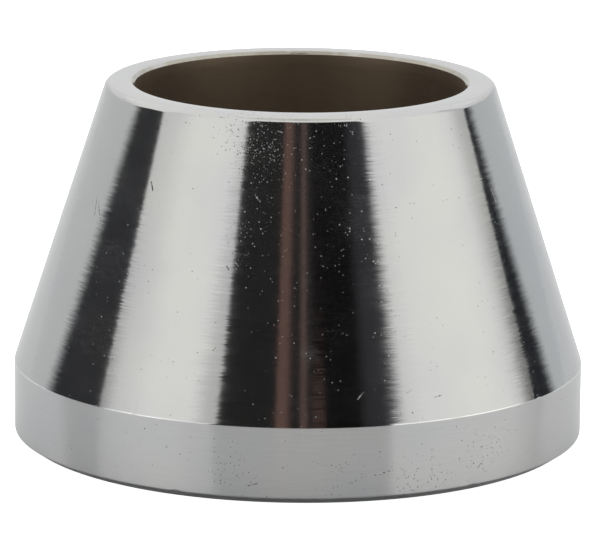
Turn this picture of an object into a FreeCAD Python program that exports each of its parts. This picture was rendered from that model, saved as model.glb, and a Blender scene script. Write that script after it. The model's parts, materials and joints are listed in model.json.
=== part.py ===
"""Concentric reducer, short turned pattern, 88.9 mm to 60.3 mm outside diameter.

One ring turned from solid round bar. Its outside is a cylindrical land at the
large end, then a straight cone up to the small end. Its passage is a straight
bore under each face, joined by an inner cone.

Frame: millimetres, +Z along the axis towards the small end, origin at the
centre of the large end face.
"""
import FreeCAD, Part
import os

import Sketcher

NODE = "reducer_body"

# Driving dimensions, millimetres. Each one can be changed by itself.
SIZES = [
    ("large_end_diameter", 88.9, "outside diameter of the land at the large end"),
    ("small_end_diameter", 60.3, "outside diameter of the cone at the small end face"),
    ("overall_height", 55.9, "large end face to small end face"),
    ("outer_land_height", 11.9, "height of the cylindrical land round the large end"),
    ("small_end_wall", 4.5, "wall at the small end, the schedule of the smaller pipe"),
    ("large_end_wall", 5.6, "wall at the large end, the schedule of the larger pipe"),
    ("small_bore_length", 12.0, "straight bore below the small end face"),
    ("large_bore_length", 10.0, "straight bore above the large end face"),
    ("crown_radius", 1.2, "rounding of the outer edge of the small end face"),
    ("foot_bevel_width", 1.6, "bevel on the outer edge of the large end face, across"),
    ("foot_bevel_height", 1.1, "bevel on the outer edge of the large end face, up"),
    ("mouth_chamfer", 0.5, "chamfer at both mouths of the passage"),
    ("shoulder_rounding", 0.8, "rounding of the edge where the cone meets the land"),
    ("passage_blend", 3.0, "blend where the inner cone runs into each bore"),
]

# Cells that follow from the driving dimensions.
DERIVED = [
    ("large_radius", "large_end_diameter / 2"),
    ("small_radius", "small_end_diameter / 2"),
    ("small_bore_radius", "small_radius - small_end_wall"),
    ("large_bore_radius", "large_radius - large_end_wall"),
    ("inner_cone_top", "overall_height - small_bore_length"),
]

START, END = 1, 2          # the two ends of a sketch line
SKETCH_ORIGIN = (-1, 1)    # geometry and point index of a sketch's origin
EDGE_TOLERANCE = 0.001     # how close an edge lies to where it is looked for


def make_sheet(doc):
    """The spreadsheet of sizes: name, value and meaning in each row."""
    sheet = doc.addObject("Spreadsheet::Sheet", "sizes")
    for row, (alias, value, meaning) in enumerate(SIZES, start=1):
        sheet.set(f"A{row}", alias)
        sheet.set(f"B{row}", str(value))
        sheet.set(f"C{row}", meaning)
        sheet.setAlias(f"B{row}", alias)
    for row, (alias, formula) in enumerate(DERIVED, start=len(SIZES) + 1):
        sheet.set(f"A{row}", alias)
        sheet.set(f"B{row}", f"={formula}")
        sheet.setAlias(f"B{row}", alias)
        doc.recompute()
    return sheet


def half_section_sketch(body, name, corners):
    """A closed outline on the XZ plane: sketch X is the radius, sketch Y is Z."""
    sketch = body.newObject("Sketcher::SketchObject", name)
    plane = next(p for p in body.Origin.OriginFeatures if p.Role == "XZ_Plane")
    sketch.AttachmentSupport = [(plane, "")]
    sketch.MapMode = "FlatFace"
    for start, end in zip(corners, corners[1:] + corners[:1]):
        line = Part.LineSegment(FreeCAD.Vector(*start, 0), FreeCAD.Vector(*end, 0))
        sketch.addGeometry(line, False)
    for index in range(len(corners)):
        following = (index + 1) % len(corners)
        sketch.addConstraint(Sketcher.Constraint("Coincident", index, END, following, START))
    sketch.addConstraint(Sketcher.Constraint("Coincident", 0, START, *SKETCH_ORIGIN))
    return sketch


def level(sketch, *lines):
    """Keep sketch lines horizontal."""
    for line in lines:
        sketch.addConstraint(Sketcher.Constraint("Horizontal", line))


def upright(sketch, *lines):
    """Keep sketch lines vertical."""
    for line in lines:
        sketch.addConstraint(Sketcher.Constraint("Vertical", line))


def dimension(sheet, sketch, direction, point, alias):
    """Tie a point's distance from the sketch origin to a cell of the sheet."""
    name = f"{alias}_{direction[-1].lower()}"
    value = sheet.get(alias)
    constraint = Sketcher.Constraint(f"Distance{direction}", *SKETCH_ORIGIN, *point, value)
    sketch.renameConstraint(sketch.addConstraint(constraint), name)
    sketch.setExpression(f"Constraints.{name}", f"sizes.{alias}")


def turn_blank(sheet, body):
    """The solid blank: a cylindrical land with the cone standing on it."""
    large = sheet.get("large_radius")
    small = sheet.get("small_radius")
    top = sheet.get("overall_height")
    land = sheet.get("outer_land_height")
    corners = [(0, 0), (large, 0), (large, land), (small, top), (0, top)]
    foot, land_side, _cone, face, axis = range(len(corners))

    sketch = half_section_sketch(body, "blank_outline", corners)
    level(sketch, foot, face)
    upright(sketch, land_side, axis)
    dimension(sheet, sketch, "X", (foot, END), "large_radius")
    dimension(sheet, sketch, "Y", (land_side, END), "outer_land_height")
    dimension(sheet, sketch, "X", (face, START), "small_radius")
    dimension(sheet, sketch, "Y", (face, START), "overall_height")
    return revolve(body, "PartDesign::Revolution", "blank", sketch)


def bore_passage(sheet, body):
    """The passage: a bore under each face and the inner cone between them."""
    large = sheet.get("large_bore_radius")
    small = sheet.get("small_bore_radius")
    top = sheet.get("overall_height")
    cone_foot = sheet.get("large_bore_length")
    cone_top = sheet.get("inner_cone_top")
    corners = [(0, 0), (large, 0), (large, cone_foot), (small, cone_top), (small, top), (0, top)]
    foot, large_bore, _cone, small_bore, face, axis = range(len(corners))

    sketch = half_section_sketch(body, "passage_outline", corners)
    level(sketch, foot, face)
    upright(sketch, large_bore, small_bore, axis)
    dimension(sheet, sketch, "X", (foot, END), "large_bore_radius")
    dimension(sheet, sketch, "Y", (large_bore, END), "large_bore_length")
    dimension(sheet, sketch, "X", (small_bore, START), "small_bore_radius")
    dimension(sheet, sketch, "Y", (small_bore, START), "inner_cone_top")
    dimension(sheet, sketch, "Y", (face, START), "overall_height")
    return revolve(body, "PartDesign::Groove", "passage", sketch)


def revolve(body, kind, name, sketch):
    """A full turn of a half section about the axis of the ring."""
    feature = body.newObject(kind, name)
    feature.Profile = sketch
    feature.ReferenceAxis = (sketch, ["V_Axis"])
    feature.Angle = 360
    sketch.Visibility = False
    body.Document.recompute()
    return feature


def rings(feature, *places):
    """Names of the circular edges of a feature at each (radius, height)."""
    names = []
    for radius, height in places:
        for index, edge in enumerate(feature.Shape.Edges, start=1):
            curve = edge.Curve
            if not isinstance(curve, Part.Circle):
                continue
            if abs(curve.Radius - radius) > EDGE_TOLERANCE:
                continue
            if abs(curve.Center.z - height) < EDGE_TOLERANCE:
                names.append(f"Edge{index}")
    return names


def dress(body, kind, name, base, edges, **cells):
    """A fillet or chamfer on named edges, with its sizes tied to the sheet."""
    feature = body.newObject(kind, name)
    feature.Base = (base, edges)
    if "Size2" in cells:
        feature.ChamferType = "Two distances"
    for prop, alias in cells.items():
        feature.setExpression(prop, f"sizes.{alias}")
    body.Document.recompute()
    return feature


def finish_edges(sheet, body, base):
    """Every turned edge gets its rounding, bevel, chamfer or blend."""
    large = sheet.get("large_radius")
    small = sheet.get("small_radius")
    top = sheet.get("overall_height")
    large_bore = sheet.get("large_bore_radius")
    small_bore = sheet.get("small_bore_radius")

    corners = rings(base, (small_bore, sheet.get("inner_cone_top")),
                    (large_bore, sheet.get("large_bore_length")))
    base = dress(body, "PartDesign::Fillet", "passage_blends", base, corners, Radius="passage_blend")
    crown = rings(base, (small, top))
    base = dress(body, "PartDesign::Fillet", "crown_rounding", base, crown, Radius="crown_radius")
    shoulder = rings(base, (large, sheet.get("outer_land_height")))
    base = dress(body, "PartDesign::Fillet", "shoulder_edge", base, shoulder,
                 Radius="shoulder_rounding")
    foot = rings(base, (large, 0))
    base = dress(body, "PartDesign::Chamfer", "foot_bevel", base, foot,
                 Size="foot_bevel_height", Size2="foot_bevel_width")
    mouths = rings(base, (small_bore, top), (large_bore, 0))
    return dress(body, "PartDesign::Chamfer", "mouth_chamfers", base, mouths, Size="mouth_chamfer")


def make_reducer_body(doc, sheet):
    """The reducer: blank, passage and finished edges in one body."""
    body = doc.addObject("PartDesign::Body", NODE)
    body.Label = NODE
    turn_blank(sheet, body)
    bored = bore_passage(sheet, body)
    finish_edges(sheet, body, bored)
    body.Placement = FreeCAD.Placement()
    return body


def check_document(doc, bodies):
    """Stop if any object failed to rebuild or any sub-part has no sound solid."""
    for obj in doc.Objects:
        if "Invalid" in obj.State or "Error" in obj.State:
            raise RuntimeError(f"{obj.Name} did not rebuild: {obj.State}")
        if obj.isDerivedFrom("Sketcher::SketchObject") and not obj.FullyConstrained:
            raise RuntimeError(f"{obj.Name} is not fully constrained")
    for body in bodies:
        if body.Shape.isNull() or not body.Shape.isValid() or len(body.Shape.Solids) != 1:
            raise RuntimeError(f"{body.Label} is not one sound solid")


def main():
    """Build the document, check it and write one STEP file for each sub-part."""
    doc = FreeCAD.newDocument("concentric_reducer")
    sheet = make_sheet(doc)
    bodies = [make_reducer_body(doc, sheet)]
    doc.recompute()
    check_document(doc, bodies)

    os.makedirs("parts", exist_ok=True)
    for body in bodies:
        body.Shape.exportStep(f"parts/{body.Label}.step")
        box = body.Shape.BoundBox
        print(f"{body.Label}: {box.XLength:.2f} x {box.YLength:.2f} x {box.ZLength:.2f} mm, "
              f"{body.Shape.Volume / 1000:.2f} cm3, {len(body.Shape.Faces)} faces")


main()
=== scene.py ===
"""Visual model of a short turned concentric reducer, bright plated outside and bare inside.

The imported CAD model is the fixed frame. The ring is lathed again here with a fine mesh,
true roundings and the small knocks of handling, and stands for the CAD body. Everything
is in metres in the frame of the part: +Z along the axis, the large end face at zero.
Angles round the axis are in degrees from the front (-Y), positive towards +X.
"""
import json
import logging
import math
from collections.abc import Sequence
from dataclasses import dataclass, field
from enum import Enum

import bpy
from mathutils import Matrix, Vector


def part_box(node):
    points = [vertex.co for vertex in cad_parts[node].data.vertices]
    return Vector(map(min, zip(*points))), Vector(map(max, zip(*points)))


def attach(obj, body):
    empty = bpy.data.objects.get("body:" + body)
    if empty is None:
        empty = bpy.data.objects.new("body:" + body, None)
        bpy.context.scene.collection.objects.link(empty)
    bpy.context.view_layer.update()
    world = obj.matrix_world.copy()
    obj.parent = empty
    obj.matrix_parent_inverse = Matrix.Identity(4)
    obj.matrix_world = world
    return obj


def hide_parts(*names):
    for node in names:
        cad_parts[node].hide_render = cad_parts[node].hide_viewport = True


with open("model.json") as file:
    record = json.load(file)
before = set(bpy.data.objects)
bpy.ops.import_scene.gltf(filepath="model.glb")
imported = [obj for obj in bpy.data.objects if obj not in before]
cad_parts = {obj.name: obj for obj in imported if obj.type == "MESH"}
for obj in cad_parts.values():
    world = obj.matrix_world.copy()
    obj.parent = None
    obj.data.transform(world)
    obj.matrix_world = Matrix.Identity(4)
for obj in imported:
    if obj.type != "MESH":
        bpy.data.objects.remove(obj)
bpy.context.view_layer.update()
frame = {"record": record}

LOG = logging.getLogger("reducer")
BODY = "root"
CAD_NODE = "reducer_body"
MM = 0.001
AXIS = (0.0, 0.0, 1.0)
NOISE_MEAN = (0.5, 0.5, 0.5)

Colour = tuple[float, float, float]
Value = float | int | bool | Sequence[float] | bpy.types.NodeSocket | bpy.types.Material


class Socket(Enum):
    """Kinds of socket that the node groups here have."""

    GEOMETRY = "NodeSocketGeometry"
    FLOAT = "NodeSocketFloat"
    INTEGER = "NodeSocketInt"
    VECTOR = "NodeSocketVector"
    MATERIAL = "NodeSocketMaterial"


class Rim(Enum):
    """The turned edges that a knock can land on."""

    CROWN = "crown"
    MOUTH = "mouth"
    SHOULDER = "shoulder"
    FOOT = "foot"


class Graph:
    """Adds nodes to one tree. An input given a socket is linked, and any other value is set."""

    def __init__(self, tree: bpy.types.NodeTree) -> None:
        """Keep the tree that nodes are added to."""
        self.tree = tree

    def give(self, entry: bpy.types.NodeSocket, value: Value) -> None:
        """Link a socket to an input, or set the input's own value."""
        if isinstance(value, bpy.types.NodeSocket):
            self.tree.links.new(value, entry)
        else:
            entry.default_value = value

    def add(self, kind: str, inputs: dict[str | int, Value] | None = None,
            **settings: object) -> bpy.types.Node:
        """Add one node.

        Args:
            kind: Blender's name for the node type.
            inputs: What each named or numbered input gets.
            **settings: Properties of the node, set before its inputs.

        Returns:
            The new node.
        """
        node = self.tree.nodes.new(kind)
        for name, setting in settings.items():
            setattr(node, name, setting)
        for key, value in (inputs or {}).items():
            self.give(node.inputs[key], value)
        return node

    def group(self, tree: bpy.types.NodeTree, inputs: dict[str, Value]) -> bpy.types.Node:
        """Place a node group and give each of its inputs."""
        return self.add("ShaderNodeGroup", inputs, node_tree=tree)

    def math(self, operation: str, *values: Value, clamp: bool = False) -> bpy.types.NodeSocket:
        """Arithmetic on numbers.

        Args:
            operation: The operation, such as ADD.
            *values: Its operands.
            clamp: Whether the result is kept between 0 and 1.

        Returns:
            The result.
        """
        node = self.add("ShaderNodeMath", dict(enumerate(values)), operation=operation,
                        use_clamp=clamp)
        return node.outputs[0]

    def vector(self, operation: str, *values: Value) -> bpy.types.NodeSocket:
        """Arithmetic on vectors.

        Args:
            operation: The operation, such as ADD or DISTANCE.
            *values: Its operands, the last one a number where the operation is SCALE.

        Returns:
            The result, a number where the operation gives one.
        """
        inputs = dict(enumerate(values))
        if operation == "SCALE":
            inputs = {0: values[0], "Scale": values[1]}
        node = self.add("ShaderNodeVectorMath", inputs, operation=operation)
        gives_number = operation in ("DOT_PRODUCT", "LENGTH", "DISTANCE")
        return node.outputs["Value" if gives_number else "Vector"]

    def xyz(self, x: Value, y: Value, z: Value) -> bpy.types.NodeSocket:
        """A vector from its three parts."""
        return self.add("ShaderNodeCombineXYZ", {"X": x, "Y": y, "Z": z}).outputs[0]

    def parts(self, vector: bpy.types.NodeSocket) -> tuple[bpy.types.NodeSocket, ...]:
        """The three parts of a vector."""
        return tuple(self.add("ShaderNodeSeparateXYZ", {"Vector": vector}).outputs)

    def ramp(self, value: Value, low: Value, high: Value, start: Value = 0.0,
             end: Value = 1.0) -> bpy.types.NodeSocket:
        """A smooth step.

        Args:
            value: The number that is mapped.
            low: Where the step begins.
            high: Where the step ends.
            start: The result up to low.
            end: The result past high.

        Returns:
            The mapped number.
        """
        inputs = {"Value": value, "From Min": low, "From Max": high, "To Min": start,
                  "To Max": end}
        node = self.add("ShaderNodeMapRange", inputs, interpolation_type="SMOOTHSTEP")
        return node.outputs["Result"]

    def noise(self, position: Value, scale: Value, detail: float = 2.0) -> bpy.types.Node:
        """Smooth noise in three dimensions, with a Fac and a Color output."""
        return self.add("ShaderNodeTexNoise", {"Vector": position, "Scale": scale,
                                               "Detail": detail})

    def blend(self, amount: Value, start: Value, end: Value) -> bpy.types.NodeSocket:
        """A colour between two others, start where the amount is 0 and end where it is 1."""
        node = self.add("ShaderNodeMix", data_type="RGBA")
        self.give(node.inputs["Factor"], amount)
        colours = [entry for entry in node.inputs if entry.type == "RGBA"]
        self.give(colours[0], start)
        self.give(colours[1], end)
        return next(out for out in node.outputs if out.type == "RGBA")


def new_group(name: str, kind: str, takes: dict[str, Socket],
              gives: dict[str, Socket]) -> tuple[Graph, bpy.types.Node, bpy.types.Node]:
    """Start a node group with named sockets.

    Args:
        name: The group's name.
        kind: ShaderNodeTree or GeometryNodeTree.
        takes: The name and kind of each input.
        gives: The name and kind of each output.

    Returns:
        The graph, its input node and its output node.
    """
    tree = bpy.data.node_groups.new(name, kind)
    for label, socket in takes.items():
        tree.interface.new_socket(label, in_out="INPUT", socket_type=socket.value)
    for label, socket in gives.items():
        tree.interface.new_socket(label, in_out="OUTPUT", socket_type=socket.value)
    graph = Graph(tree)
    return graph, graph.add("NodeGroupInput"), graph.add("NodeGroupOutput")


def new_material(name: str) -> tuple[bpy.types.Material, Graph, bpy.types.Node]:
    """Start a material.

    Args:
        name: The material's name.

    Returns:
        The material, the graph of its nodes and its output node.
    """
    material = bpy.data.materials.new(name)
    material.use_nodes = True
    material.node_tree.nodes.clear()
    graph = Graph(material.node_tree)
    return material, graph, graph.add("ShaderNodeOutputMaterial")


def on_circle(angle: float, radius: float, height: float = 0.0) -> Vector:
    """The point at an angle from the front, a radius and a height."""
    turn = math.radians(angle)
    return Vector((radius * math.sin(turn), -radius * math.cos(turn), height))


# ---------------------------------------------------------------- surface effects


@dataclass
class SurfaceEffects:
    """The shader groups that the finishes share, each built once.

    A scale is in noise cells per metre. A range holds the two noise levels between which an
    effect changes, and the depth or share after it the two values that it changes between,
    or 0 and 1 where there is none. A core is the part of a mark's reach at full strength.
    """

    ring_scale: float = 260.0
    stretch_round: float = 0.2
    stretch_range: tuple[float, float] = (0.4, 0.6)
    stretch_depth: tuple[float, float] = (0.6, 1.0)
    crowd_scale: float = 140.0
    crowd_range: tuple[float, float] = (0.35, 0.65)
    crowd_share: tuple[float, float] = (0.3, 1.7)
    least_pinhole: float = 0.65
    pinhole_spread: float = 0.5
    pinhole_core: float = 0.6
    scratch_taper: tuple[float, float] = (0.3, 0.6)
    scratch_core: float = 0.4
    scratch_end: float = 0.3
    edge_core: float = 0.5
    broken_scale: float = 300.0
    broken_range: tuple[float, float] = (0.3, 0.5)
    broken_depth: tuple[float, float] = (0.45, 1.0)
    cloud_range: tuple[float, float] = (0.3, 0.7)
    streak_squash: float = 9.0
    streak_fineness: float = 2.0

    def __post_init__(self) -> None:
        """Build every group."""
        self.turning_marks = self._turning_marks()
        self.pinholes = self._pinholes()
        self.scratch = self._scratch()
        self.edge_line = self._edge_line()
        self.haze = self._haze()

    def _turning_marks(self) -> bpy.types.NodeTree:
        """Fine rings left by the tool, as a normal that tips from one ring to the next.

        The rings follow the profile: they are stacked along the axis on a cone or a bore
        and concentric on a face. Stretches of the profile have deeper rings than others.

        Returns:
            A group that takes a position, a normal, the pitch of the rings and their tilt
            along the profile and round the axis, and gives a normal.
        """
        takes = {"Position": Socket.VECTOR, "Normal": Socket.VECTOR, "Pitch": Socket.FLOAT,
                 "Profile tilt": Socket.FLOAT, "Side tilt": Socket.FLOAT}
        graph, inp, out = new_group("turning marks", "ShaderNodeTree", takes,
                                    {"Normal": Socket.VECTOR})
        position = inp.outputs["Position"]
        normal = inp.outputs["Normal"]
        x, y, z = graph.parts(position)
        radial = graph.vector("NORMALIZE", graph.xyz(x, y, 0.0))
        radius = graph.vector("DOT_PRODUCT", position, radial)
        outward = graph.vector("DOT_PRODUCT", normal, radial)
        upward = graph.vector("DOT_PRODUCT", normal, AXIS)
        along = graph.math("SUBTRACT", graph.math("MULTIPLY", z, outward),
                           graph.math("MULTIPLY", radius, upward))
        ring = graph.math("DIVIDE", along, inp.outputs["Pitch"])
        spot = graph.xyz(graph.math("MULTIPLY", x, self.ring_scale),
                         graph.math("MULTIPLY", y, self.ring_scale), ring)
        rings = graph.noise(spot, 1.0, detail=1.0).outputs["Color"]
        side, slope, _ = graph.parts(graph.vector("SUBTRACT", rings, NOISE_MEAN))
        coarse = graph.xyz(graph.math("MULTIPLY", x, self.stretch_round),
                           graph.math("MULTIPLY", y, self.stretch_round), along)
        stretches = graph.ramp(graph.noise(coarse, self.ring_scale).outputs["Fac"],
                               *self.stretch_range, *self.stretch_depth)
        side = graph.math("MULTIPLY", graph.math("MULTIPLY", side, inp.outputs["Side tilt"]),
                          stretches)
        slope = graph.math("MULTIPLY", slope, inp.outputs["Profile tilt"])
        round_axis = graph.vector("CROSS_PRODUCT", AXIS, radial)
        profile = graph.vector("CROSS_PRODUCT", round_axis, normal)
        tipped = graph.vector("ADD", normal, graph.vector("SCALE", round_axis, side))
        tipped = graph.vector("ADD", tipped, graph.vector("SCALE", profile, slope))
        graph.give(out.inputs["Normal"], graph.vector("NORMALIZE", tipped))
        return graph.tree

    def _pinholes(self) -> bpy.types.NodeTree:
        """Scattered pinholes and specks, denser in some places than in others.

        Returns:
            A group that takes a position, the spacing and size of the holes and the share
            of them that show, and gives a mask.
        """
        takes = {"Position": Socket.VECTOR, "Spacing": Socket.FLOAT, "Size": Socket.FLOAT,
                 "Share": Socket.FLOAT}
        graph, inp, out = new_group("pinholes", "ShaderNodeTree", takes, {"Mask": Socket.FLOAT})
        scale = graph.math("DIVIDE", 1.0, inp.outputs["Spacing"])
        cells = graph.add("ShaderNodeTexVoronoi", {"Vector": inp.outputs["Position"],
                                                   "Scale": scale})
        chance, bulk, _ = graph.parts(cells.outputs["Color"])
        crowd = graph.noise(inp.outputs["Position"], self.crowd_scale).outputs["Fac"]
        uneven = graph.ramp(crowd, *self.crowd_range, *self.crowd_share)
        share = graph.math("MULTIPLY", inp.outputs["Share"], uneven)
        present = graph.math("LESS_THAN", chance, share)
        size = graph.math("DIVIDE", inp.outputs["Size"], inp.outputs["Spacing"])
        reach = graph.math("MULTIPLY", size, graph.math("MULTIPLY_ADD", bulk,
                                                        self.pinhole_spread, self.least_pinhole))
        core = graph.math("MULTIPLY", reach, self.pinhole_core)
        spot = graph.ramp(cells.outputs["Distance"], core, reach, 1.0, 0.0)
        graph.give(out.inputs["Mask"], graph.math("MULTIPLY", spot, present))
        return graph.tree

    def _scratch(self) -> bpy.types.NodeTree:
        """One straight scratch between two points.

        Returns:
            A group that takes a position, the two ends and the width of the scratch and
            the mask of the scratches before it, and gives the mask with this one added.
        """
        takes = {"Position": Socket.VECTOR, "Start": Socket.VECTOR, "End": Socket.VECTOR,
                 "Width": Socket.FLOAT, "Mask": Socket.FLOAT}
        graph, inp, out = new_group("scratch", "ShaderNodeTree", takes, {"Mask": Socket.FLOAT})
        start = inp.outputs["Start"]
        line = graph.vector("SUBTRACT", inp.outputs["End"], start)
        arm = graph.vector("SUBTRACT", inp.outputs["Position"], start)
        length = graph.vector("DOT_PRODUCT", line, line)
        along = graph.math("DIVIDE", graph.vector("DOT_PRODUCT", arm, line), length, clamp=True)
        gap = graph.vector("DISTANCE", arm, graph.vector("SCALE", line, along))
        first, last = self.scratch_taper
        middle = graph.math("MULTIPLY", graph.ramp(along, 0.0, first), graph.ramp(along, 1.0, last))
        reach = graph.math("MULTIPLY", inp.outputs["Width"], 0.5)
        groove = graph.ramp(gap, graph.math("MULTIPLY", reach, self.scratch_core), reach, 1.0, 0.0)
        depth = graph.math("MULTIPLY_ADD", middle, 1.0 - self.scratch_end, self.scratch_end)
        groove = graph.math("MULTIPLY", groove, depth)
        graph.give(out.inputs["Mask"], graph.math("MAXIMUM", groove, inp.outputs["Mask"]))
        return graph.tree

    def _edge_line(self) -> bpy.types.NodeTree:
        """A thin broken line along a turned edge.

        Returns:
            A group that takes a position, the radius and height of the edge and the width
            of the line, and gives a mask.
        """
        takes = {"Position": Socket.VECTOR, "Radius": Socket.FLOAT, "Height": Socket.FLOAT,
                 "Width": Socket.FLOAT}
        graph, inp, out = new_group("edge line", "ShaderNodeTree", takes, {"Mask": Socket.FLOAT})
        x, y, z = graph.parts(inp.outputs["Position"])
        radius = graph.vector("LENGTH", graph.xyz(x, y, 0.0))
        across = graph.math("SUBTRACT", radius, inp.outputs["Radius"])
        above = graph.math("SUBTRACT", z, inp.outputs["Height"])
        gap = graph.vector("LENGTH", graph.xyz(across, above, 0.0))
        reach = graph.math("MULTIPLY", inp.outputs["Width"], 0.5)
        line = graph.ramp(gap, graph.math("MULTIPLY", reach, self.edge_core), reach, 1.0, 0.0)
        broken = graph.noise(inp.outputs["Position"], self.broken_scale).outputs["Fac"]
        depth = graph.ramp(broken, *self.broken_range, *self.broken_depth)
        graph.give(out.inputs["Mask"], graph.math("MULTIPLY", line, depth))
        return graph.tree

    def _haze(self) -> bpy.types.NodeTree:
        """Uneven sheen and handling haze in soft clouds.

        Returns:
            A group that takes a position and the size of a cloud, and gives a mask from 0
            to 1 that changes slowly and another with fine streaks round the axis.
        """
        takes = {"Position": Socket.VECTOR, "Cloud": Socket.FLOAT}
        graph, inp, out = new_group("haze", "ShaderNodeTree", takes,
                                    {"Cloudy": Socket.FLOAT, "Streaky": Socket.FLOAT})
        scale = graph.math("DIVIDE", 1.0, inp.outputs["Cloud"])
        cloud = graph.noise(inp.outputs["Position"], scale, detail=3.0).outputs["Fac"]
        squashed = graph.vector("MULTIPLY", inp.outputs["Position"],
                                (1.0, 1.0, self.streak_squash))
        fine = graph.math("MULTIPLY", scale, self.streak_fineness)
        streak = graph.noise(squashed, fine, detail=4.0).outputs["Fac"]
        graph.give(out.inputs["Cloudy"], graph.ramp(cloud, *self.cloud_range))
        graph.give(out.inputs["Streaky"], graph.ramp(streak, *self.cloud_range))
        return graph.tree


# ---------------------------------------------------------------- the lathed ring


@dataclass(frozen=True)
class RingSizes:
    """Sizes of the reducer in metres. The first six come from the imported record."""

    large_radius: float
    height: float
    small_bore: float
    large_bore: float
    small_bore_depth: float
    large_bore_depth: float
    small_radius: float = 30.15 * MM
    land_height: float = 11.9 * MM
    crown_radius: float = 1.2 * MM
    shoulder_radius: float = 0.8 * MM
    passage_blend: float = 3.0 * MM
    bevel_width: float = 1.6 * MM
    bevel_height: float = 1.1 * MM
    mouth_chamfer: float = 0.5 * MM
    soft_edge: float = 0.12 * MM
    blend_runout: float = 0.563 * MM

    @classmethod
    def from_frame(cls, record: dict) -> "RingSizes":
        """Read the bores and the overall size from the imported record.

        Args:
            record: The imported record.

        Returns:
            The sizes.
        """
        mounts = {mount["name"]: mount for mount in record["mounts"]}
        low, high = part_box(CAD_NODE)
        ends = cls.mouth_chamfer + cls.blend_runout
        depths = [mounts[name]["dims"]["length_mm"] * MM + ends
                  for name in ("small_end_bore", "large_end_bore")]
        return cls(large_radius=mounts["large_end_land"]["dims"]["r_mm"] * MM,
                   height=high.z - low.z,
                   small_bore=mounts["small_end_bore"]["dims"]["r_mm"] * MM,
                   large_bore=mounts["large_end_bore"]["dims"]["r_mm"] * MM,
                   small_bore_depth=depths[0], large_bore_depth=depths[1])

    def rim(self, which: Rim) -> tuple[float, float]:
        """Radius and height of a turned edge, before it is rounded."""
        places = {Rim.CROWN: (self.small_radius, self.height),
                  Rim.MOUTH: (self.small_bore + self.mouth_chamfer, self.height),
                  Rim.SHOULDER: (self.large_radius, self.land_height),
                  Rim.FOOT: (self.large_radius, self.bevel_height)}
        return places[which]

    def outside(self, angle: float, height: float) -> Vector:
        """The point on the land or the cone at an angle and a height."""
        share = (height - self.land_height) / (self.height - self.land_height)
        radius = self.large_radius + max(share, 0.0) * (self.small_radius - self.large_radius)
        return on_circle(angle, radius, height)


@dataclass(frozen=True)
class Knock:
    """A small dent where an edge was struck."""

    rim: Rim
    angle: float
    size: float
    depth: float


@dataclass(frozen=True)
class Lathe:
    """How finely the ring is cut into faces."""

    segments: int = 720
    row: float = 2.0 * MM
    soft_steps: int = 2
    crown_steps: int = 12
    shoulder_steps: int = 5
    blend_steps: int = 7


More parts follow.
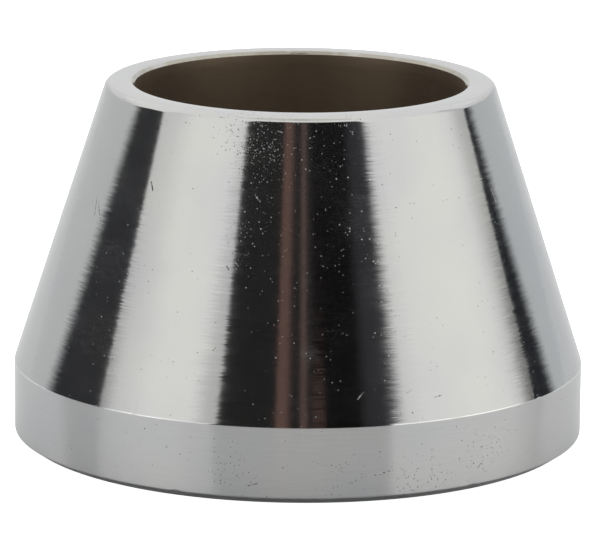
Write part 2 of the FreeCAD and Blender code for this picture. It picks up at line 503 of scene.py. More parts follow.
@dataclass
class ReducerRing:
    """The reducer itself: a lathed half section with knocks along its edges."""

    sizes: RingSizes
    lathe: Lathe = field(default_factory=Lathe)
    passage_facing: float = -0.8
    knocks: tuple[Knock, ...] = (
        Knock(Rim.CROWN, 23.1, 0.70 * MM, 0.12 * MM),
        Knock(Rim.CROWN, 34.0, 0.95 * MM, 0.15 * MM),
        Knock(Rim.CROWN, -16.5, 0.50 * MM, 0.07 * MM),
        Knock(Rim.CROWN, -5.0, 0.45 * MM, 0.06 * MM),
        Knock(Rim.CROWN, 9.5, 0.45 * MM, 0.06 * MM),
        Knock(Rim.CROWN, 16.0, 0.55 * MM, 0.08 * MM),
        Knock(Rim.MOUTH, 184.0, 0.60 * MM, 0.10 * MM),
        Knock(Rim.SHOULDER, -33.7, 0.65 * MM, 0.12 * MM),
        Knock(Rim.SHOULDER, 55.5, 0.80 * MM, 0.14 * MM),
        Knock(Rim.FOOT, -24.0, 1.10 * MM, 0.18 * MM),
        Knock(Rim.FOOT, 36.6, 1.10 * MM, 0.16 * MM),
        Knock(Rim.CROWN, -118.0, 0.80 * MM, 0.12 * MM),
        Knock(Rim.SHOULDER, 141.0, 0.90 * MM, 0.12 * MM),
        Knock(Rim.FOOT, -160.0, 1.00 * MM, 0.14 * MM),
    )

    def build(self, plated: bpy.types.Material, bare: bpy.types.Material) -> bpy.types.Object:
        """Make the ring as a plain mesh.

        Args:
            plated: The finish outside and on both end faces.
            bare: The finish of the passage.

        Returns:
            The ring.
        """
        ring = bpy.data.objects.new("reducer_ring", bpy.data.meshes.new("reducer_ring"))
        bpy.context.scene.collection.objects.link(ring)
        tree = self._lathe_tree()
        modifier = ring.modifiers.new("lathe", "NODES")
        modifier.node_group = tree
        settings = self._settings(plated, bare)
        for item in tree.interface.items_tree:
            if item.in_out == "INPUT" and item.name in settings:
                modifier[item.identifier] = settings[item.name]
        ring.modifiers.new("face normals", "WEIGHTED_NORMAL")
        graph = bpy.context.evaluated_depsgraph_get()
        mesh = bpy.data.meshes.new_from_object(ring.evaluated_get(graph))
        ring.modifiers.clear()
        ring.data = mesh
        mesh.name = ring.name
        return ring

    def _settings(self, plated: bpy.types.Material, bare: bpy.types.Material) -> dict[str, object]:
        """What each named input of the lathe tree gets.

        Args:
            plated: The finish outside and on both end faces.
            bare: The finish of the passage.

        Returns:
            Values by input name.
        """
        sizes = self.sizes
        return {"Large radius": sizes.large_radius, "Small radius": sizes.small_radius,
                "Height": sizes.height, "Land height": sizes.land_height,
                "Small bore": sizes.small_bore, "Large bore": sizes.large_bore,
                "Small bore depth": sizes.small_bore_depth,
                "Large bore depth": sizes.large_bore_depth,
                "Crown radius": sizes.crown_radius, "Shoulder radius": sizes.shoulder_radius,
                "Passage blend": sizes.passage_blend, "Bevel width": sizes.bevel_width,
                "Bevel height": sizes.bevel_height, "Mouth chamfer": sizes.mouth_chamfer,
                "Soft edge": sizes.soft_edge, "Row": self.lathe.row,
                "Segments": self.lathe.segments, "Plated": plated, "Bare": bare}

    def _lathe_tree(self) -> bpy.types.NodeTree:
        """The tree that turns the half section round the axis.

        Returns:
            A geometry tree with a named input for each size.
        """
        lengths = ("Large radius", "Small radius", "Height", "Land height", "Small bore",
                   "Large bore", "Small bore depth", "Large bore depth", "Crown radius",
                   "Shoulder radius", "Passage blend", "Bevel width", "Bevel height",
                   "Mouth chamfer", "Soft edge", "Row")
        takes = {"Geometry": Socket.GEOMETRY} | dict.fromkeys(lengths, Socket.FLOAT)
        takes |= {"Segments": Socket.INTEGER, "Plated": Socket.MATERIAL, "Bare": Socket.MATERIAL}
        graph, inp, out = new_group("lathe", "GeometryNodeTree", takes,
                                    {"Geometry": Socket.GEOMETRY})
        size = inp.outputs
        section = self._half_section(graph, size)
        rail = graph.add("GeometryNodeCurvePrimitiveCircle",
                         {"Resolution": size["Segments"], "Radius": size["Large radius"]})
        turned = graph.add("GeometryNodeCurveToMesh",
                           {"Curve": rail.outputs["Curve"], "Profile Curve": section})
        struck = self._knocked(graph, turned.outputs[0])
        smooth = graph.add("GeometryNodeSetShadeSmooth", {"Geometry": struck})
        whole = graph.add("GeometryNodeRealizeInstances", {"Geometry": smooth.outputs[0]})
        dressed = graph.add("GeometryNodeSetMaterial", {"Geometry": whole.outputs[0],
                                                        "Material": size["Plated"]})
        bare = graph.add("GeometryNodeSetMaterial", {"Geometry": dressed.outputs[0],
                                                     "Selection": self._faces_axis(graph),
                                                     "Material": size["Bare"]})
        graph.give(out.inputs["Geometry"], bare.outputs[0])
        return graph.tree

    def _half_section(self, graph: Graph, size: bpy.types.bpy_prop_collection) -> bpy.types.NodeSocket:
        """The closed outline of the wall: up the passage and down the outside, corners rounded.

        Args:
            graph: The lathe tree.
            size: The outputs of its input node.

        Returns:
            A curve in the rail's section plane: its X is measured from the large radius and
            its Y points down.
        """
        soft, blend = size["Soft edge"], size["Passage blend"]
        chamfer, top = size["Mouth chamfer"], size["Height"]
        cut = self.lathe
        lower_lip = graph.math("ADD", size["Large bore"], chamfer)
        upper_lip = graph.math("ADD", size["Small bore"], chamfer)
        corners = (
            (size["Large bore"], chamfer, soft, cut.soft_steps),
            (size["Large bore"], size["Large bore depth"], blend, cut.blend_steps),
            (size["Small bore"], graph.math("SUBTRACT", top, size["Small bore depth"]), blend,
             cut.blend_steps),
            (size["Small bore"], graph.math("SUBTRACT", top, chamfer), soft, cut.soft_steps),
            (upper_lip, top, soft, cut.soft_steps),
            (size["Small radius"], top, size["Crown radius"], cut.crown_steps),
            (size["Large radius"], size["Land height"], size["Shoulder radius"],
             cut.shoulder_steps),
            (size["Large radius"], size["Bevel height"], soft, cut.soft_steps),
            (graph.math("SUBTRACT", size["Large radius"], size["Bevel width"]), 0.0, soft,
             cut.soft_steps),
            (lower_lip, 0.0, soft, cut.soft_steps),
        )
        radii, heights, roundings, steps = zip(*corners)
        across = graph.math("SUBTRACT", self._by_corner(graph, radii), size["Large radius"])
        down = graph.math("MULTIPLY", self._by_corner(graph, heights), -1.0)
        place = graph.xyz(across, down, 0.0)
        points = graph.add("GeometryNodeMeshLine", {"Count": len(corners)})
        placed = graph.add("GeometryNodeSetPosition", {"Geometry": points.outputs[0],
                                                       "Position": place})
        line = graph.add("GeometryNodeMeshToCurve", {"Mesh": placed.outputs[0]})
        loop = graph.add("GeometryNodeSetSplineCyclic", {"Geometry": line.outputs[0],
                                                         "Cyclic": True})
        rounded = graph.add("GeometryNodeFilletCurve",
                            {"Curve": loop.outputs[0], "Radius": self._by_corner(graph, roundings),
                             "Count": self._by_corner(graph, steps, whole=True),
                             "Limit Radius": True}, mode="POLY")
        return self._rows(graph, rounded.outputs[0], size["Row"])

    @staticmethod
    def _by_corner(graph: Graph, values: Sequence[Value], whole: bool = False) -> bpy.types.NodeSocket:
        """A value that depends on the number of the corner.

        Args:
            graph: The tree.
            values: One value for each corner.
            whole: Whether the values are whole numbers.

        Returns:
            The value at each corner.
        """
        switch = graph.add("GeometryNodeIndexSwitch", data_type="INT" if whole else "FLOAT")
        while len(switch.index_switch_items) < len(values):
            switch.index_switch_items.new()
        graph.give(switch.inputs["Index"], graph.add("GeometryNodeInputIndex").outputs[0])
        for number, value in enumerate(values):
            graph.give(switch.inputs[number + 1], value)
        return switch.outputs[0]

    @staticmethod
    def _rows(graph: Graph, curve: bpy.types.NodeSocket, row: Value) -> bpy.types.NodeSocket:
        """Cut the long straight runs of a closed curve into rows.

        Args:
            graph: The tree.
            curve: The curve.
            row: The longest run that stays whole.

        Returns:
            The same curve with more points.
        """
        position = graph.add("GeometryNodeInputPosition").outputs[0]
        index = graph.add("GeometryNodeInputIndex").outputs[0]
        count = graph.add("GeometryNodeAttributeDomainSize", {"Geometry": curve},
                          component="CURVE").outputs["Point Count"]
        following = graph.math("MODULO", graph.math("ADD", index, 1.0), count)
        ahead = graph.add("GeometryNodeFieldAtIndex", data_type="FLOAT_VECTOR", domain="POINT")
        graph.give(ahead.inputs["Value"], position)
        graph.give(ahead.inputs["Index"], following)
        run = graph.vector("DISTANCE", position, ahead.outputs[0])
        cuts = graph.math("FLOOR", graph.math("DIVIDE", run, row))
        return graph.add("GeometryNodeSubdivideCurve", {"Curve": curve, "Cuts": cuts}).outputs[0]

    def _knocked(self, graph: Graph, mesh: bpy.types.NodeSocket) -> bpy.types.NodeSocket:
        """Dent the edges.

        Args:
            graph: The lathe tree.
            mesh: The turned ring.

        Returns:
            The ring with every knock pressed in.
        """
        for knock in self.knocks:
            radius, height = self.sizes.rim(knock.rim)
            centre = on_circle(knock.angle, radius, height)
            middle = on_circle(knock.angle, (self.sizes.small_bore + radius) / 2,
                               self.sizes.height / 2)
            inward = (middle - centre).normalized() * knock.depth
            position = graph.add("GeometryNodeInputPosition").outputs[0]
            gap = graph.vector("DISTANCE", position, tuple(centre))
            weight = graph.ramp(gap, 0.0, knock.size, 1.0, 0.0)
            shift = graph.vector("SCALE", tuple(inward), weight)
            mesh = graph.add("GeometryNodeSetPosition", {"Geometry": mesh,
                                                         "Offset": shift}).outputs[0]
        return mesh

    def _faces_axis(self, graph: Graph) -> bpy.types.NodeSocket:
        """Whether a face belongs to the passage, because it looks at the axis."""
        x, y, _ = graph.parts(graph.add("GeometryNodeInputPosition").outputs[0])
        radial = graph.vector("NORMALIZE", graph.xyz(x, y, 0.0))
        normal = graph.add("GeometryNodeInputNormal").outputs[0]
        facing = graph.vector("DOT_PRODUCT", normal, radial)
        return graph.math("LESS_THAN", facing, self.passage_facing)


# ---------------------------------------------------------------- finishes


@dataclass(frozen=True)
class ScratchMark:
    """One scratch on the outside, between two places given by angle and height in mm."""

    start: tuple[float, float]
    end: tuple[float, float]
    width: float = 0.20 * MM


@dataclass(frozen=True)
class Patch:
    """A place on the outside, by angle and height in mm, where an effect is stronger."""

    angle: float
    height: float
    reach: float
    extra: float


@dataclass(frozen=True)
class PaintedEdgeLine:
    """A thin line of set colour along a turned edge: painted light such as a glint or shade, or a
    change of tone.
    """

    rim: Rim
    shift: tuple[float, float]
    width: float
    tone: Colour


@dataclass(frozen=True)
class BrightPlate:
    """Bright plating over fine turning marks, with pinholes, scratches and a little haze."""

    tint: Colour = (0.606, 0.608, 0.607)
    warm_tint: Colour = (0.642, 0.639, 0.620)
    pale_speck: Colour = (0.52, 0.52, 0.52)
    dark_speck: Colour = (0.12, 0.12, 0.12)
    roughness: float = 0.075
    haze_roughness: float = 0.10
    flaw_roughness: float = 0.3
    sheen_cloud: float = 14.0 * MM
    film: float = 0.014
    film_cloud: float = 4.5 * MM
    film_near_top: float = 0.010
    film_rise: tuple[float, float] = (28.0 * MM, 56.0 * MM)
    smudges: tuple[Patch, ...] = (
        Patch(2.4, 22.3, 2.0 * MM, 0.11),
        Patch(2.0, 33.0, 1.4 * MM, 0.05),
        Patch(-33.0, 33.0, 3.0 * MM, 0.05),
        Patch(16.5, 41.0, 6.0 * MM, 0.030),
        Patch(17.5, 31.0, 5.0 * MM, 0.024),
        Patch(20.0, 21.0, 5.0 * MM, 0.016),
        Patch(-50.0, 42.0, 6.0 * MM, 0.030),
        Patch(-49.0, 32.0, 6.0 * MM, 0.040),
        Patch(-49.0, 22.0, 6.0 * MM, 0.028),
        Patch(150.0, 30.0, 4.0 * MM, 0.06),
    )
    pitch: float = 0.22 * MM
    profile_tilt: float = 0.05
    side_tilt: float = 0.016
    combed: tuple[Patch, ...] = (
        Patch(-57.0, 32.0, 20.0 * MM, 0.030),
        Patch(-14.0, 22.0, 10.0 * MM, 0.024),
        Patch(19.0, 46.0, 9.0 * MM, 0.020),
        Patch(18.0, 26.0, 13.0 * MM, 0.028),
        Patch(51.5, 21.0, 12.0 * MM, 0.032),
        Patch(58.0, 45.0, 10.0 * MM, 0.026),
        Patch(120.0, 30.0, 24.0 * MM, 0.06),
        Patch(-140.0, 28.0, 24.0 * MM, 0.06),
    )
    pit_tilt: float = 2.6
    pit_grain: float = 0.30 * MM
    pale_pits: tuple[float, float] = (0.44, 0.56)
    patch_core: float = 0.3
    pinhole_spacing: float = 0.30 * MM
    pinhole_size: float = 0.110 * MM
    pinhole_share: float = 0.013
    pitted: tuple[Patch, ...] = (
        Patch(-11.0, 54.5, 8.5 * MM, 0.60),
        Patch(-8.0, 46.0, 10.0 * MM, 0.10),
        Patch(-15.0, 38.0, 5.0 * MM, 0.18),
        Patch(-12.0, 4.0, 6.0 * MM, 0.20),
        Patch(8.0, 3.0, 6.0 * MM, 0.20),
        Patch(24.0, 3.5, 7.0 * MM, 0.22),
        Patch(38.0, 7.5, 7.0 * MM, 0.16),
        Patch(54.0, 15.0, 5.0 * MM, 0.12),
        Patch(9.0, 51.5, 8.0 * MM, 0.22),
        Patch(12.0, 38.0, 9.0 * MM, 0.05),
        Patch(15.0, 26.0, 9.0 * MM, 0.04),
        Patch(-5.0, 32.0, 12.0 * MM, 0.04),
        Patch(-46.0, 30.0, 9.0 * MM, 0.04),
        Patch(2.0, 20.0, 12.0 * MM, 0.02),
        Patch(-30.0, 5.0, 9.0 * MM, 0.02),
    )
    # Edge lines: a painted glint along the shoulder, a warmer, darker line on the mouth chamfer, and
    # painted shade on the foot bevel where it faces the floor.
    painted_edge_lines: tuple[PaintedEdgeLine, ...] = (
        PaintedEdgeLine(Rim.SHOULDER, (-0.03 * MM, 0.03 * MM), 0.22 * MM, (0.96, 0.96, 0.95)),
        PaintedEdgeLine(Rim.MOUTH, (-0.25 * MM, -0.25 * MM), 1.1 * MM, (0.46, 0.435, 0.375)),
        PaintedEdgeLine(Rim.FOOT, (-0.20 * MM, -0.15 * MM), 0.9 * MM, (0.42, 0.42, 0.43)),
    )
    scratches: tuple[ScratchMark, ...] = (
        ScratchMark((-60.4, 40.3), (-55.9, 37.1)),
        ScratchMark((-61.5, 41.0), (-60.2, 38.2)),
        ScratchMark((-41.3, 44.9), (-39.9, 43.4), 0.30 * MM),
        ScratchMark((-10.9, 44.4), (-9.8, 43.8)),
        ScratchMark((-16.9, 34.5), (-16.2, 33.9)),
        ScratchMark((-14.8, 35.0), (-13.5, 34.2)),
        ScratchMark((57.7, 42.9), (58.5, 40.9)),
        ScratchMark((27.7, 15.2), (29.7, 15.4)),
        ScratchMark((15.0, 4.4), (18.7, 5.0), 0.28 * MM),
        ScratchMark((11.7, 15.7), (13.4, 17.0)),
        ScratchMark((21.9, 16.2), (23.5, 16.7)),
        ScratchMark((37.6, 3.5), (39.0, 4.7)),
        ScratchMark((-9.5, 2.9), (-7.6, 3.3)),
    )

    def build(self, effects: SurfaceEffects, sizes: RingSizes) -> bpy.types.Material:
        """Make the material.

        Args:
            effects: The shared shader groups.
            sizes: The ring's sizes, which place the scratches.

        Returns:
            The material.
        """
        material, graph, out = new_material("bright plate")
        position = graph.add("ShaderNodeTexCoord").outputs["Object"]
        normal = graph.add("ShaderNodeNewGeometry").outputs["Normal"]
        combing = self._patchy(graph, sizes, position, self.side_tilt, self.combed)
        marks = graph.group(effects.turning_marks, {
            "Position": position, "Normal": normal, "Pitch": self.pitch,
            "Profile tilt": self.profile_tilt, "Side tilt": combing})
        crowding = self._patchy(graph, sizes, position, self.pinhole_share, self.pitted)
        holes = graph.group(effects.pinholes, {
            "Position": position, "Spacing": self.pinhole_spacing, "Size": self.pinhole_size,
            "Share": crowding})
        haze = graph.group(effects.haze, {"Position": position, "Cloud": self.sheen_cloud})
        flaw = self._scratched(graph, effects, sizes, position, holes.outputs["Mask"])
        tint = graph.blend(haze.outputs["Cloudy"], (*self.tint, 1.0), (*self.warm_tint, 1.0))
        # Paint each edge line into the base colour; the shoulder line is a painted glint and the foot
        # line is painted shade.
        for edge_paint in self.painted_edge_lines:
            radius, height = sizes.rim(edge_paint.rim)
            line = graph.group(effects.edge_line, {
                "Position": position, "Radius": radius + edge_paint.shift[0],
                "Height": height + edge_paint.shift[1], "Width": edge_paint.width})
            tint = graph.blend(line.outputs["Mask"], tint, (*edge_paint.tone, 1.0))
        grain = graph.noise(position, 1.0 / self.pit_grain, detail=0.0)
        pale = graph.ramp(grain.outputs["Fac"], *self.pale_pits)
        speck = graph.blend(pale, (*self.dark_speck, 1.0), (*self.pale_speck, 1.0))
        colour = graph.blend(flaw, tint, speck)
        sheen = graph.ramp(haze.outputs["Streaky"], 0.0, 1.0, self.roughness, self.haze_roughness)
        roughness = graph.math("MAXIMUM", sheen,
                               graph.math("MULTIPLY", flaw, self.flaw_roughness))
        film = graph.group(effects.haze, {"Position": position, "Cloud": self.film_cloud})
        shader = graph.add("ShaderNodeBsdfPrincipled",
                           {"Base Color": colour,
                            "Metallic": self._metal(graph, sizes, position, film),
                            "Roughness": roughness,
                            "Normal": self._pitted(graph, grain, marks.outputs[0], flaw)})
        graph.give(out.inputs["Surface"], shader.outputs[0])
        return material

    def _metal(self, graph: Graph, sizes: RingSizes, position: bpy.types.NodeSocket,
               haze: bpy.types.Node) -> bpy.types.NodeSocket:
        """How metallic the surface looks under its thin film of handling.

        Args:
            graph: The material's graph.
            sizes: The ring's sizes, which place the smudges.
            position: The surface position.
            haze: The haze group of the film.

        Returns:
            A value a little under 1, lowest where the film is thickest.
        """
        _, _, height = graph.parts(position)
        near_top = graph.ramp(height, *self.film_rise, 0.0, self.film_near_top)
        clouds = graph.math("MULTIPLY", haze.outputs["Cloudy"], haze.outputs["Streaky"])
        film = graph.math("MULTIPLY_ADD", clouds, self.film, near_top)
        smudges = self._patchy(graph, sizes, position, 0.0, self.smudges)
        film = graph.math("MULTIPLY_ADD", smudges, haze.outputs["Streaky"], film)
        return graph.math("SUBTRACT", 1.0, film)

    def _pitted(self, graph: Graph, grain: bpy.types.Node, normal: bpy.types.NodeSocket,
                flaw: bpy.types.NodeSocket) -> bpy.types.NodeSocket:
        """Tip the normal inside pits and scratches, each its own way.

        Args:
            graph: The material's graph.
            grain: Noise as fine as one pit.
            normal: The normal of the sound surface.
            flaw: Where the pits and scratches are.

        Returns:
            The normal.
        """
        way = graph.vector("SUBTRACT", grain.outputs["Color"], NOISE_MEAN)
        tip = graph.vector("SCALE", way, graph.math("MULTIPLY", flaw, self.pit_tilt))
        return graph.vector("NORMALIZE", graph.vector("ADD", normal, tip))

    def _patchy(self, graph: Graph, sizes: RingSizes, position: bpy.types.NodeSocket,
                base: float, patches: Sequence[Patch]) -> bpy.types.NodeSocket:
        """A value that is raised in some places on the outside.

        Args:
            graph: The material's graph.
            sizes: The ring's sizes.
            position: The surface position.
            base: The value elsewhere.
            patches: The places, and how much each adds.

        Returns:
            The value.
        """
        value = base
        for patch in patches:
            centre = tuple(sizes.outside(patch.angle, patch.height * MM))
            gap = graph.vector("DISTANCE", position, centre)
            core = patch.reach * self.patch_core
            extra = graph.ramp(gap, core, patch.reach, patch.extra, 0.0)
            value = graph.math("ADD", value, extra)
        return value

    def _scratched(self, graph: Graph, effects: SurfaceEffects, sizes: RingSizes,
                   position: bpy.types.NodeSocket, mask: bpy.types.NodeSocket) -> bpy.types.NodeSocket:
        """Add every scratch to a mask.

        Args:
            graph: The material's graph.
            effects: The shared shader groups.
            sizes: The ring's sizes.
            position: The surface position.
            mask: The mask so far.

        Returns:
            The mask with the scratches.
        """
        for mark in self.scratches:
            start = tuple(sizes.outside(mark.start[0], mark.start[1] * MM))
            end = tuple(sizes.outside(mark.end[0], mark.end[1] * MM))
            scratch = graph.group(effects.scratch, {"Position": position, "Start": start,
                                                    "End": end, "Width": mark.width,
                                                    "Mask": mask})
            mask = scratch.outputs["Mask"]
        return mask


@dataclass(frozen=True)
class PaintedReflectionStreak:
    """A paler upright streak painted into the passage colour as a reflection, by angle."""

    angle: float
    half_width: float
    strength: float


@dataclass(frozen=True)
class BarePassage:
    """The unplated passage: dark brown satin steel with bored rings and paler upright streaks of
    painted reflection.
    """

    tint: Colour = (0.235, 0.176, 0.120)
    dark_tint: Colour = (0.150, 0.111, 0.075)
    mottle: float = 0.35
    # Paler upright streaks of painted reflection, by angle round the passage.
    painted_reflection_streaks: tuple[PaintedReflectionStreak, ...] = (
        PaintedReflectionStreak(153.0, 8.0 * MM, 0.45),
        PaintedReflectionStreak(-145.0, 9.0 * MM, 0.40),
        PaintedReflectionStreak(178.0, 24.0 * MM, 0.85),
        PaintedReflectionStreak(20.0, 14.0 * MM, 0.50),
        PaintedReflectionStreak(-60.0, 12.0 * MM, 0.50),
    )
    metallic: float = 0.6
    roughness: float = 0.42
    streak_roughness: float = 0.48
    streak_cloud: float = 9.0 * MM
    pitch: float = 0.30 * MM
    profile_tilt: float = 0.09
    side_tilt: float = 0.05
    stain_cloud: float = 11.0 * MM
    stain_stretch: float = 0.12

    def build(self, effects: SurfaceEffects, radius: float) -> bpy.types.Material:
        """Make the material.

        Args:
            effects: The shared shader groups.
            radius: The radius of the small bore, which places the stains.

        Returns:
            The material.
        """
        material, graph, out = new_material("bare passage")
        position = graph.add("ShaderNodeTexCoord").outputs["Object"]
        normal = graph.add("ShaderNodeNewGeometry").outputs["Normal"]
        marks = graph.group(effects.turning_marks, {
            "Position": position, "Normal": normal, "Pitch": self.pitch,
            "Profile tilt": self.profile_tilt, "Side tilt": self.side_tilt})
        upright = graph.vector("MULTIPLY", position, (1.0, 1.0, self.stain_stretch))
        clouds = graph.group(effects.haze, {"Position": upright, "Cloud": self.stain_cloud})
        pale = graph.math("MULTIPLY", clouds.outputs["Cloudy"], self.mottle)
        x, y, _ = graph.parts(position)
        # Add the painted reflection streaks to the paler share of the colour.
        for painted_streak in self.painted_reflection_streaks:
            foot = tuple(on_circle(painted_streak.angle, radius))
            gap = graph.vector("DISTANCE", graph.xyz(x, y, 0.0), foot)
            pale = graph.math("ADD", pale, graph.ramp(gap, 0.0, painted_streak.half_width,
                                                      painted_streak.strength, 0.0))
        colour = graph.blend(pale, (*self.dark_tint, 1.0), (*self.tint, 1.0))
        haze = graph.group(effects.haze, {"Position": position, "Cloud": self.streak_cloud})
        roughness = graph.ramp(haze.outputs["Streaky"], 0.0, 1.0, self.roughness,
                               self.streak_roughness)
        shader = graph.add("ShaderNodeBsdfPrincipled",
                           {"Base Color": colour, "Metallic": self.metallic,
                            "Roughness": roughness, "Normal": marks.outputs["Normal"]})
        graph.give(out.inputs["Surface"], shader.outputs[0])
        return material


# ---------------------------------------------------------------- studio


@dataclass(frozen=True)
class Panel:
    """A soft light or a dark card on a wide circle round the part, seen only in reflections.

    Directions are degrees from the front, heights are degrees above the part. The low ends
    of the two sides can stand further out than the high ends.
    """

    name: str
    left: float
    right: float
    tone: Colour
    low: float = -2.0
    high: float = 40.0
    fade_left: float = 2.5
    fade_right: float = 2.5
    fade_top: float = 0.0
    lean_left: float = 0.0
    lean_right: float = 0.0
    layer: int = 0


@dataclass(frozen=True)
class OverheadCard:
    """A round card over the part, a little in front of it, seen only in reflections."""

    name: str
    forward: float
    height: float
    radius: float
    tone: Colour


@dataclass(frozen=True)
class Viewpoint:
    """Where the camera stands and how it is held."""

    distance: float = 0.7101
    height: float = 0.18746
    tilt_down: float = 12.887
    turn: float = -0.016
    roll: float = 0.5
    lens: float = 279.25
    sensor: float = 36.0
    nearest: float = 0.05
    furthest: float = 20.0


def grey(level: float) -> Colour:
    """A neutral tone."""
    return (level, level, level)


@dataclass
class Studio:
    """Pale floor, bright surroundings, soft lights, dark cards and the camera."""

    view: Viewpoint = field(default_factory=Viewpoint)
    wall_radius: float = 1.2
    layer_gap: float = 0.02
    column: float = 2.0
    disc_corners: int = 96
    part_middle: float = 0.03
    floor_radius: float = 3.0
    floor_drop: float = 0.05 * MM
    surround: float = 0.98
    floor_colour: Colour = (0.82, 0.83, 0.85)
    floor_gloss: float = 0.22
    floor_lift: float = 0.95
    floor_touch: float = 0.10 * MM
    touch_level: float = 0.6
    panels: tuple[Panel, ...] = (
        Panel("rear_wall", 110.0, 250.0, (0.82, 0.825, 0.83), high=32.0, fade_left=12.0,
              fade_right=12.0, fade_top=10.0),
        Panel("rear_left_drape", -176.0, -100.0, (0.645, 0.66, 0.665), high=18.0, fade_left=30.0,
              fade_top=8.0, fade_right=8.0, layer=1),
        Panel("rear_right_drape", 104.0, 176.0, (0.60, 0.625, 0.642), high=18.0, fade_right=30.0,
              fade_top=8.0, fade_left=8.0, layer=1),
        Panel("left_soft_light", -76.0, -38.0, (1.01, 1.01, 0.99), fade_left=12.0, fade_right=9.0,
              layer=2),
        Panel("right_soft_light", 38.0, 98.0, (1.07, 1.07, 1.035), fade_left=44.0,
              fade_right=18.0, layer=2),
        Panel("left_shade", -87.0, -58.0, grey(0.78), fade_left=0.2, fade_right=28.0,
              layer=3),
        Panel("right_shade", 92.0, 112.0, (0.66, 0.66, 0.65), fade_left=14.0, fade_right=2.0,
              layer=3),
        Panel("left_gap_curtain", -33.6, -26.0, grey(0.66), high=28.0, fade_left=8.0,
              fade_top=9.0, lean_left=-27.0, layer=3),
        Panel("right_gap_curtain", 36.5, 45.5, grey(0.88), high=28.0, fade_right=10.0,
              fade_top=9.0, lean_right=19.0, layer=3),
        Panel("left_skirt", -87.5, -75.5, grey(0.38), high=15.1, fade_left=0.2, fade_right=9.0,
              fade_top=6.3, layer=4),
        Panel("left_flag", -103.5, -86.7, (0.035, 0.036, 0.039), high=20.0, fade_left=7.0,
              fade_right=1.8, lean_left=-19.5, lean_right=6.6, layer=5),
        Panel("right_skirt", 98.5, 111.0, grey(0.22), high=11.0, fade_left=9.0, fade_right=1.0,
              fade_top=6.0, lean_left=-3.0, layer=4),
        Panel("right_flag", 109.2, 116.4, (0.019, 0.022, 0.026), high=12.5, fade_left=1.0,
              fade_right=7.0, lean_left=-4.6, lean_right=10.4, layer=5),
        Panel("camera_gap", -28.7, 38.0, grey(0.020), lean_left=-7.4, fade_left=1.8,
              fade_right=2.0, layer=4),
        Panel("camera_gap_core", 5.5, 30.0, grey(0.0065), fade_right=6.0, layer=5),
        Panel("camera_gap_edge", 24.0, 30.0, (0.034, 0.035, 0.040), low=17.0, fade_left=7.0,
              fade_right=7.0, lean_right=15.4, layer=6),
        Panel("brown_post", -9.6, -1.6, (0.150, 0.090, 0.076), fade_left=1.8, fade_right=4.2,
              layer=7),
        Panel("thin_brown_post", 0.0, 5.0, (0.121, 0.083, 0.072), fade_left=2.0, fade_right=2.6,
              layer=7),
        Panel("low_brown_post", 5.5, 11.8, (0.067, 0.042, 0.037), high=20.6, fade_left=1.2,
              fade_right=1.6, fade_top=0.6, layer=7),
    )
    overhead: tuple[OverheadCard, ...] = (
        OverheadCard("ceiling", -0.25, 1.15, 0.40, (0.80, 0.78, 0.74)),
        OverheadCard("lamp_boom", -0.235, 1.05, 0.055, (0.12, 0.115, 0.105)),
    )

    def build(self) -> None:
        """Set up the floor, the surroundings, every panel and the camera."""
        self._surroundings()
        self._floor()
        for panel in self.panels:
            self._panel(panel)
        for card in self.overhead:
            self._overhead(card)
        self._camera()

    def _surroundings(self) -> None:
        """Bright surroundings, plain white where the camera looks straight at them."""
        world = bpy.data.worlds.new("surroundings")
        bpy.context.scene.world = world
        world.use_nodes = True
        world.node_tree.nodes.clear()
        graph = Graph(world.node_tree)
        seen = graph.add("ShaderNodeLightPath").outputs["Is Camera Ray"]
        level = graph.ramp(seen, 0.0, 1.0, self.surround, 1.0)
        light = graph.add("ShaderNodeBackground", {"Color": (1.0, 1.0, 1.0, 1.0),
                                                   "Strength": level})
        out = graph.add("ShaderNodeOutputWorld")
        graph.give(out.inputs["Surface"], light.outputs[0])
        bpy.context.scene.view_settings.view_transform = "Standard"

    def _floor(self) -> None:
        """A wide pale glossy floor, clear from below.

        It glows where the camera sees it, and where it touches the end face of the part.
        """
        floor = self._disc("floor", Vector((0.0, 0.0, -self.floor_drop)), self.floor_radius)
        material, graph, out = new_material("pale floor")
        board = graph.add("ShaderNodeBsdfPrincipled",
                          {"Base Color": (*self.floor_colour, 1.0), "Roughness": self.floor_gloss})
        path = graph.add("ShaderNodeLightPath")
        touching = graph.math("LESS_THAN", path.outputs["Ray Length"], self.floor_touch)
        shown = graph.math("MAXIMUM", path.outputs["Is Camera Ray"],
                           graph.math("MULTIPLY", touching, self.touch_level))
        strength = graph.math("MULTIPLY", shown, self.floor_lift)
        glow = graph.add("ShaderNodeEmission", {"Strength": strength})
        lit = graph.add("ShaderNodeAddShader", {0: board.outputs[0], 1: glow.outputs[0]})
        clear = graph.add("ShaderNodeBsdfTransparent")
        below = graph.add("ShaderNodeNewGeometry").outputs["Backfacing"]
        both = graph.add("ShaderNodeMixShader", {0: below, 1: lit.outputs[0],
                                                 2: clear.outputs[0]})
        graph.give(out.inputs["Surface"], both.outputs[0])
        floor.data.materials.append(material)

    def _disc(self, name: str, centre: Vector, radius: float) -> bpy.types.Object:
        """A flat disc that faces up.

        Args:
            name: The disc's name.
            centre: Its centre.
            radius: Its radius.

        Returns:
            The disc, marked as part of the studio.
        """
        corners = self.disc_corners
        vertices = [centre + on_circle(360.0 * step / corners, radius) for step in range(corners)]
        mesh = bpy.data.meshes.new(name)
        mesh.from_pydata(vertices, [], [tuple(range(corners))])
        disc = bpy.data.objects.new(name, mesh)
        bpy.context.scene.collection.objects.link(disc)
        return disc

    def _overhead(self, card: OverheadCard) -> None:
        """Hang one card over the part.

        Args:
            card: The card.
        """
        disc = self._disc(card.name, Vector((0.0, card.forward, card.height)), card.radius)
        material, graph, out = new_material(card.name)
        glow = graph.add("ShaderNodeEmission", {"Color": (*card.tone, 1.0)})
        graph.give(out.inputs["Surface"], glow.outputs[0])
        disc.data.materials.append(material)
        disc.visible_camera = False

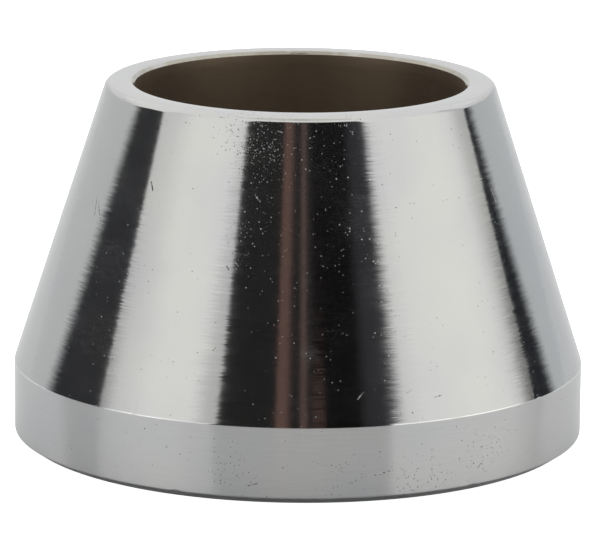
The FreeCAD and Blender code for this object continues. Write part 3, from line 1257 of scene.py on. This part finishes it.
    def _panel(self, panel: Panel) -> None:
        """Stand one panel on its circle.

        Args:
            panel: The panel.
        """
        radius = self.wall_radius - panel.layer * self.layer_gap
        columns = max(2, round((panel.right - panel.left) / self.column))
        vertices, widths = [], []
        for row, rise in enumerate((panel.low, panel.high)):
            left = panel.left + (panel.lean_left if row == 0 else 0.0)
            right = panel.right + (panel.lean_right if row == 0 else 0.0)
            widths.append(right - left)
            height = self._at_rise(radius, rise)
            vertices += [on_circle(left + (right - left) * step / columns, radius, height)
                         for step in range(columns + 1)]
        faces = [(step, step + 1, step + columns + 2, step + columns + 1)
                 for step in range(columns)]
        mesh = bpy.data.meshes.new(panel.name)
        mesh.from_pydata(vertices, [], faces)
        chart = mesh.uv_layers.new(name="degrees from each side")
        for loop in mesh.loops:
            row, step = divmod(loop.vertex_index, columns + 1)
            width = widths[row]
            chart.data[loop.index].uv = (width * step / columns, width * (1 - step / columns))
        card = bpy.data.objects.new(panel.name, mesh)
        bpy.context.scene.collection.objects.link(card)
        mesh.materials.append(self._panel_material(panel, radius))
        card.visible_camera = False

    def _at_rise(self, radius: float, rise: float) -> float:
        """The height that is seen from the part at a rise in degrees."""
        return self.part_middle + radius * math.tan(math.radians(rise))

    def _panel_material(self, panel: Panel, radius: float) -> bpy.types.Material:
        """An even glow that fades out at the panel's sides and top.

        Args:
            panel: The panel.
            radius: The radius of its circle.

        Returns:
            The material.
        """
        material, graph, out = new_material(panel.name)
        from_left, from_right, _ = graph.parts(graph.add("ShaderNodeUVMap").outputs[0])
        cover = graph.math("MULTIPLY", graph.ramp(from_left, 0.0, panel.fade_left),
                           graph.ramp(from_right, 0.0, panel.fade_right))
        if panel.fade_top:
            _, _, height = graph.parts(graph.add("ShaderNodeTexCoord").outputs["Object"])
            top = self._at_rise(radius, panel.high)
            start = self._at_rise(radius, panel.high - panel.fade_top)
            cover = graph.math("MULTIPLY", cover, graph.ramp(height, start, top, 1.0, 0.0))
        clear = graph.add("ShaderNodeBsdfTransparent")
        glow = graph.add("ShaderNodeEmission", {"Color": (*panel.tone, 1.0)})
        both = graph.add("ShaderNodeMixShader", {0: cover, 1: clear.outputs[0],
                                                 2: glow.outputs[0]})
        graph.give(out.inputs["Surface"], both.outputs[0])
        return material

    def _camera(self) -> None:
        """A long lens in front of the part, looking down on it a little."""
        camera = bpy.data.cameras.new("camera")
        camera.lens = self.view.lens
        camera.sensor_width = self.view.sensor
        camera.clip_start = self.view.nearest
        camera.clip_end = self.view.furthest
        holder = bpy.data.objects.new("camera", camera)
        bpy.context.scene.collection.objects.link(holder)
        pitch = Matrix.Rotation(math.radians(90.0 - self.view.tilt_down), 4, "X")
        roll = Matrix.Rotation(math.radians(self.view.roll), 4, "Z")
        turn = Matrix.Rotation(math.radians(self.view.turn), 4, "Z")
        stand = Matrix.Translation((0.0, -self.view.distance, self.view.height))
        holder.matrix_world = stand @ turn @ pitch @ roll
        bpy.context.scene.camera = holder


def main() -> None:
    """Build the ring, dress it and set up the studio."""
    logging.basicConfig(level=logging.INFO, format="%(name)s: %(message)s")
    Studio().build()
    effects = SurfaceEffects()
    sizes = RingSizes.from_frame(frame["record"])
    plated = BrightPlate().build(effects, sizes)
    bare = BarePassage().build(effects, sizes.small_bore)
    ring = ReducerRing(sizes).build(plated, bare)
    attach(ring, BODY)
    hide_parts(CAD_NODE)
    LOG.info("%s: %d faces", ring.name, len(ring.data.polygons))


if __name__ == "__main__":
    main()
